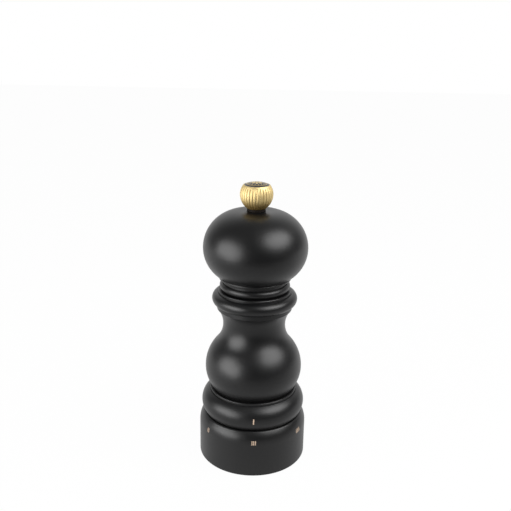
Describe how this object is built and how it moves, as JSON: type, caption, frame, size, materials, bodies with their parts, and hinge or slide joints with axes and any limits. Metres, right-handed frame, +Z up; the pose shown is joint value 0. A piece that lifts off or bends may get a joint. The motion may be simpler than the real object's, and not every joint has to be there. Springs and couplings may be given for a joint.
{
  "type": "pepper mill",
  "caption": "Turned table pepper mill in black satin lacquer: ball head, waisted body, ribbed brass knob, and a dial ring at its foot that sets how fine it grinds.",
  "frame": {"origin": "centre of the foot ring's underside, on the mill's axis", "axes": "+Z up along the mill's axis, -Y towards the front mark, +X to the right seen from the front"},
  "size_m": [0.0688, 0.0688, 0.18],
  "materials": {
    "lacquered_wood": "black satin lacquer on beech",
    "gilt_metal": "polished, brass coloured plating",
    "disc_enamel": "glossy black enamel",
    "turned_brass": "as turned",
    "bright_steel": "zinc plated",
    "case_hardened_steel": "case hardened, dark",
    "moulded_black": "moulded, fine matt texture",
    "slip_nylon": "black nylon"
  },
  "bodies": {
    "body": {"mill_body": "lacquered_wood", "mechanism_housing": "moulded_black", "bearing_spider": "moulded_black", "housing_screws": "bright_steel", "shaft_bush": "turned_brass", "spring_washer": "bright_steel", "thrust_washer": "slip_nylon", "retaining_ring": "bright_steel", "click_spring": "bright_steel"},
    "spindle": {"shaft": "bright_steel", "rotor": "case_hardened_steel", "rotor_washer": "bright_steel", "rotor_nut": "bright_steel", "spring": "bright_steel"},
    "head": {"mill_head": "lacquered_wood", "drive_plate": "bright_steel", "drive_plate_screws": "bright_steel"},
    "knob_seat": {"knob_washer": "slip_nylon"},
    "knob": {"knob": "gilt_metal", "knob_disc": "disc_enamel", "knob_insert": "turned_brass"},
    "ring": {"adjusting_ring": "lacquered_wood", "ring_liner": "moulded_black"},
    "stator_stage": {"stator_carrier": "moulded_black", "stator": "case_hardened_steel", "follower_pins": "bright_steel"}
  },
  "joints": [
    {"name": "grind_turn", "type": "hinge", "parent": "body", "child": "spindle", "pos_m": [0, 0, 0.04], "axis": [0, 0, 1], "continuous": true},
    {"name": "head_lift", "type": "slide", "parent": "spindle", "child": "head", "axis": [0, 0, 1], "range_m": [0, 0.075]},
    {"name": "knob_rise", "type": "slide", "parent": "head", "child": "knob_seat", "axis": [0, 0, 1], "range_m": [0, 0.004]},
    {"name": "knob_turn", "type": "hinge", "parent": "knob_seat", "child": "knob", "pos_m": [0, 0, 0.163], "axis": [0, 0, 1], "range_deg": [0, 1800]},
    {"name": "ring_turn", "type": "hinge", "parent": "body", "child": "ring", "pos_m": [0, 0, 0.015], "axis": [0, 0, -1], "range_deg": [-112, 168], "deforming": ["click_spring"]},
    {"name": "stator_lift", "type": "slide", "parent": "body", "child": "stator_stage", "axis": [0, 0, 1], "range_m": [-0.00112, 0.00168]}
  ],
  "couplings": [
    {"joint": "knob_turn", "follows": "knob_rise", "rad_per_m": 7854},
    {"joint": "stator_lift", "follows": "ring_turn", "m_per_rad": 0.00057296}
  ]
}
